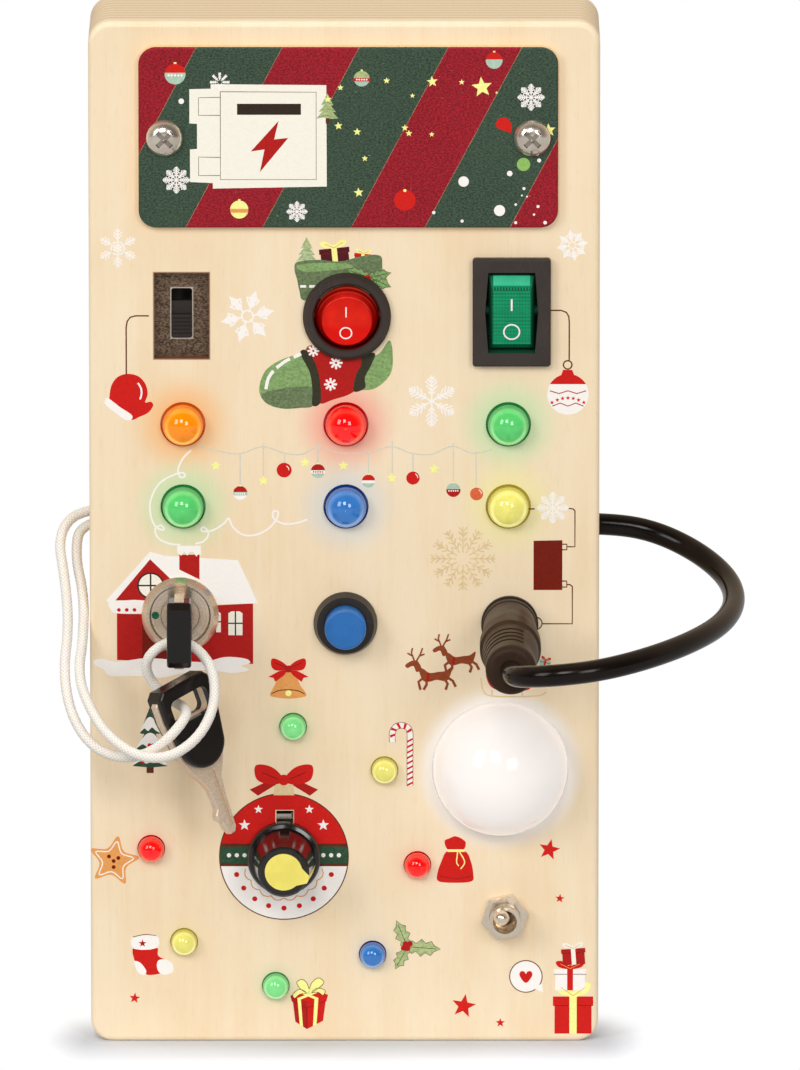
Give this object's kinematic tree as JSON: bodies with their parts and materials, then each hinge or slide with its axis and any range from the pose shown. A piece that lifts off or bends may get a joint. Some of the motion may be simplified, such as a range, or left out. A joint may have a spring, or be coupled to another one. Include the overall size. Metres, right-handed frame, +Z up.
{
  "type": "busy board",
  "caption": "Flat plywood box standing on its edge, with switches, lamps, a key lock, a plug on a cable, a knob and a milky domed lamp in its front panel.",
  "frame": {"origin": "middle of the flat bottom face that the board stands on", "axes": "+Z up along the board, the front panel faces -Y, +X to the right seen from the front"},
  "size_m": [0.1344, 0.0891, 0.2],
  "materials": {
    "birch_plywood": "sanded, oiled",
    "printed_cover": "printed plywood, satin",
    "screw_steel": "bright",
    "zinc_steel": "plated",
    "black_plastic": "satin",
    "black_gloss": "gloss",
    "cell_sleeve": "printed sleeve",
    "red_clear": "clear red",
    "green_clear": "clear green",
    "orange_clear": "clear orange",
    "blue_clear": "clear blue",
    "yellow_clear": "clear yellow",
    "milky_plastic": "milky, gloss",
    "board_green": "solder mask",
    "blue_plastic": "satin",
    "cast_metal": "plated casting",
    "yellow_plastic": "satin",
    "cable_rubber": "matt",
    "white_cord": "braided"
  },
  "bodies": {
    "board": {"back_panel": "birch_plywood", "back_panel_screws": "screw_steel", "batteries": "cell_sleeve", "battery_contacts": "zinc_steel", "battery_cover": "printed_cover", "battery_cover_screws": "screw_steel", "battery_tray": "black_plastic", "big_lamp_blue": "blue_clear", "big_lamp_green_lower": "green_clear", "big_lamp_green_upper": "green_clear", "big_lamp_orange": "orange_clear", "big_lamp_red": "red_clear", "big_lamp_yellow": "yellow_clear", "board_spacers": "milky_plastic", "cable_stop": "black_plastic", "cord_knot": "white_cord", "dome_lamp": "milky_plastic", "dome_lamp_board": "board_green", "frame_back_layer": "birch_plywood", "frame_front_layer": "birch_plywood", "frame_middle_layer": "birch_plywood", "front_panel": "birch_plywood", "key_cord": "white_cord", "key_lock_body": "screw_steel", "lower_circuit_board": "board_green", "panel_nuts": "screw_steel", "plug_cable": "cable_rubber", "pot_body": "zinc_steel", "power_socket": "black_gloss", "push_button_body": "black_gloss", "push_button_spring": "zinc_steel", "rect_rocker_body": "black_gloss", "round_rocker_body": "black_gloss", "slide_switch_body": "black_plastic", "slide_switch_plate": "zinc_steel", "small_lamps_blue": "blue_clear", "small_lamps_green": "green_clear", "small_lamps_red": "red_clear", "small_lamps_yellow": "yellow_clear", "spare_key_blade": "cast_metal", "spare_key_grip": "black_plastic", "switch_terminals": "zinc_steel", "toggle_body": "zinc_steel", "upper_circuit_board": "board_green"},
    "slide_knob": {"slide_switch_knob": "black_plastic"},
    "round_rocker": {"round_rocker_button": "red_clear"},
    "rect_rocker": {"rect_rocker_button": "green_clear"},
    "button": {"push_button_cap": "blue_plastic"},
    "key": {"key_lock_rotor": "cast_metal", "key_blade": "cast_metal", "key_grip": "black_plastic"},
    "plug": {"power_plug": "black_plastic"},
    "knob": {"pot_shaft": "zinc_steel", "knob": "black_gloss", "knob_pointer": "yellow_plastic"},
    "lever": {"toggle_lever": "screw_steel"}
  },
  "joints": [
    {"name": "slide_switch_move", "type": "slide", "parent": "board", "child": "slide_knob", "axis": [0, 0, 1], "range_m": [0, 0.0048]},
    {"name": "round_rocker_tip", "type": "hinge", "parent": "board", "child": "round_rocker", "pos_m": [0.0005, -0.0135, 0.1428], "axis": [-1, 0, 0], "range_deg": [0, 22]},
    {"name": "rect_rocker_tip", "type": "hinge", "parent": "board", "child": "rect_rocker", "pos_m": [0.0321, -0.0135, 0.1437], "axis": [-1, 0, 0], "range_deg": [0, 22]},
    {"name": "button_press", "type": "slide", "parent": "board", "child": "button", "axis": [0, 1, 0], "range_m": [0, 0.0022], "stiffness_N_per_m": 300, "springref_m": -0.0012, "deforming": ["push_button_spring"]},
    {"name": "key_turn", "type": "hinge", "parent": "board", "child": "key", "pos_m": [-0.0316, -0.015, 0.0843], "axis": [0, -1, 0], "range_deg": [0, 90], "deforming": ["key_cord"]},
    {"name": "plug_pull", "type": "slide", "parent": "board", "child": "plug", "axis": [0, -1, 0], "range_m": [0, 0.012], "deforming": ["plug_cable"]},
    {"name": "knob_turn", "type": "hinge", "parent": "board", "child": "knob", "pos_m": [-0.0117, -0.015, 0.0366], "axis": [0, -1, 0], "range_deg": [-42, 258]},
    {"name": "lever_flip", "type": "hinge", "parent": "board", "child": "lever", "pos_m": [0.0309, -0.0165, 0.0249], "axis": [0.9397, 0, 0.342], "range_deg": [0, 25]}
  ]
}
